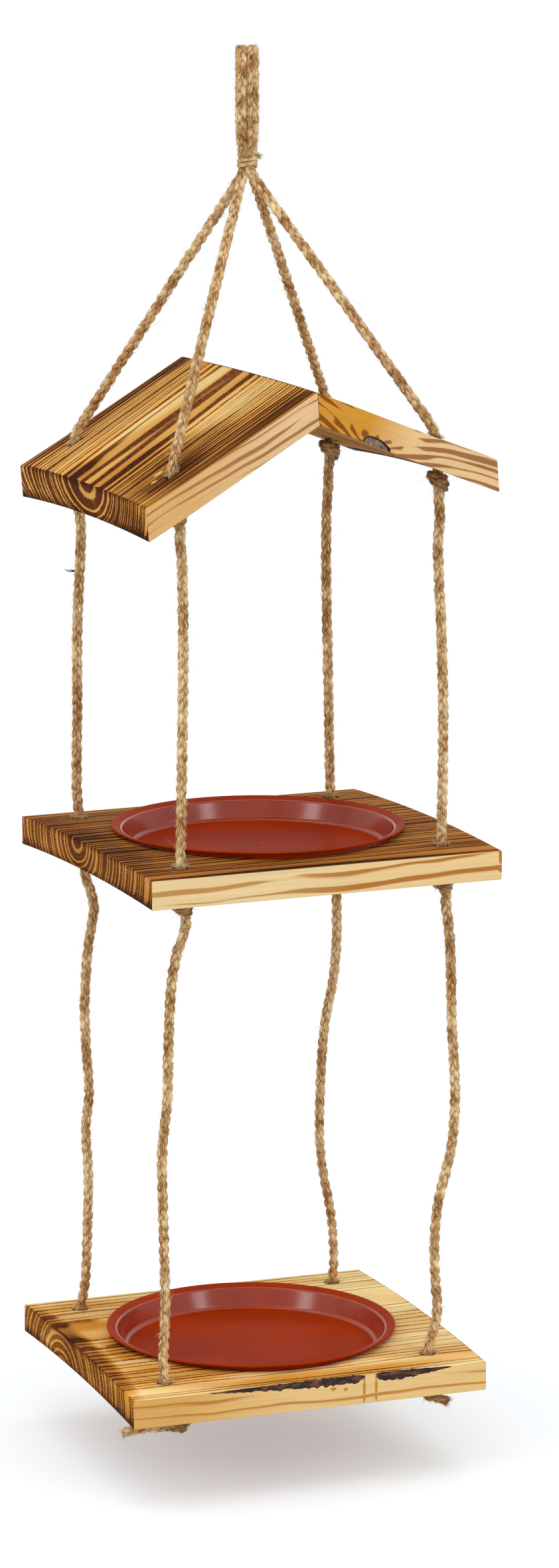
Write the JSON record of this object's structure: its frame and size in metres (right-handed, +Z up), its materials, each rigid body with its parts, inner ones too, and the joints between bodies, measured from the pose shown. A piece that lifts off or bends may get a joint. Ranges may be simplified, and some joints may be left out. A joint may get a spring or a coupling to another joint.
{
  "type": "hanging bird feeder",
  "caption": "Tall hanging bird feeder: a pitched plank roof over two square wooden trays, each with a round saucer let in, strung on plaited jute ropes.",
  "frame": {"origin": "where a hook bears inside the two hanging loops", "axes": "+Z up, +X along the front edge of the middle tray, +Y from its front edge to its back edge"},
  "size_m": [0.2104, 0.2011, 0.7313],
  "materials": {
    "flamed_pine_roof": "scorched and brushed, satin",
    "flamed_pine_tray": "scorched and brushed, satin",
    "terracotta_plastic": "glossy",
    "jute_rope": "plaited, hairy",
    "jute_twine": "twisted, hairy",
    "bright_steel": "bright wire"
  },
  "bodies": {
    "hanger": {"hanging_loop_left": "jute_rope", "hanging_loop_right": "jute_rope", "neck_tie": "jute_twine"},
    "roof": {"roof_board_left": "flamed_pine_roof", "roof_board_right": "flamed_pine_roof", "ridge_brad_1": "bright_steel", "ridge_brad_2": "bright_steel", "ridge_brad_3": "bright_steel", "bridle_rope_front_left": "jute_rope", "bridle_rope_back_left": "jute_rope", "bridle_rope_front_right": "jute_rope", "bridle_rope_back_right": "jute_rope", "roof_knot_front_left": "jute_rope", "roof_knot_back_left": "jute_rope", "roof_knot_front_right": "jute_rope", "roof_knot_back_right": "jute_rope"},
    "middle_ropes_left": {"middle_rope_front_left": "jute_rope", "middle_rope_back_left": "jute_rope"},
    "middle_ropes_right": {"middle_rope_front_right": "jute_rope", "middle_rope_back_right": "jute_rope"},
    "middle_tray": {"middle_board": "flamed_pine_tray", "middle_knot_front_left": "jute_rope", "middle_knot_back_left": "jute_rope", "middle_knot_front_right": "jute_rope", "middle_knot_back_right": "jute_rope"},
    "upper_dish": {"upper_saucer": "terracotta_plastic"},
    "lower_ropes_left": {"lower_rope_front_left": "jute_rope", "lower_rope_back_left": "jute_rope"},
    "lower_ropes_right": {"lower_rope_front_right": "jute_rope", "lower_rope_back_right": "jute_rope"},
    "lower_tray": {"lower_board": "flamed_pine_tray", "lower_knot_front_left": "jute_rope", "lower_knot_back_left": "jute_rope", "lower_knot_front_right": "jute_rope", "lower_knot_back_right": "jute_rope"},
    "lower_dish": {"lower_saucer": "terracotta_plastic"}
  },
  "joints": [
    {"name": "neck_swing", "type": "hinge", "parent": "hanger", "child": "roof", "pos_m": [0, 0, -0.0593], "axis": [1, 0, 0], "range_deg": [-12, 12]},
    {"name": "middle_sway", "type": "hinge", "parent": "roof", "child": "middle_ropes_left", "pos_m": [-0.06948, -0.002, -0.24225], "axis": [0, 1, 0], "range_deg": [-12, 12]},
    {"name": "middle_sway_right", "type": "hinge", "parent": "roof", "child": "middle_ropes_right", "pos_m": [0.07803, -0.002, -0.24225], "axis": [0, 1, 0], "range_deg": [-12, 12]},
    {"name": "middle_tray_level", "type": "hinge", "parent": "middle_ropes_left", "child": "middle_tray", "pos_m": [-0.07, -0.002, -0.41415], "axis": [0, 1, 0], "range_deg": [-12, 12]},
    {"name": "upper_saucer_lift", "type": "slide", "parent": "middle_tray", "child": "upper_dish", "axis": [0, 0, 1], "range_m": [0, 0.05]},
    {"name": "lower_sway", "type": "hinge", "parent": "middle_tray", "child": "lower_ropes_left", "pos_m": [-0.067, -0.002, -0.4465], "axis": [0, 1, 0], "range_deg": [-10, 10]},
    {"name": "lower_sway_right", "type": "hinge", "parent": "middle_tray", "child": "lower_ropes_right", "pos_m": [0.083, -0.002, -0.4465], "axis": [0, 1, 0], "range_deg": [-10, 10]},
    {"name": "lower_tray_level", "type": "hinge", "parent": "lower_ropes_left", "child": "lower_tray", "pos_m": [-0.07539, -0.00044, -0.69215], "axis": [0, 1, 0], "range_deg": [-10, 10]},
    {"name": "lower_saucer_lift", "type": "slide", "parent": "lower_tray", "child": "lower_dish", "axis": [0, 0, 1], "range_m": [0, 0.05]}
  ],
  "couplings": [
    {"joint": "middle_sway_right", "follows": "middle_sway", "ratio": 1},
    {"joint": "middle_tray_level", "follows": "middle_sway", "ratio": -1},
    {"joint": "lower_sway_right", "follows": "lower_sway", "ratio": 1},
    {"joint": "lower_tray_level", "follows": "lower_sway", "ratio": -1}
  ]
}
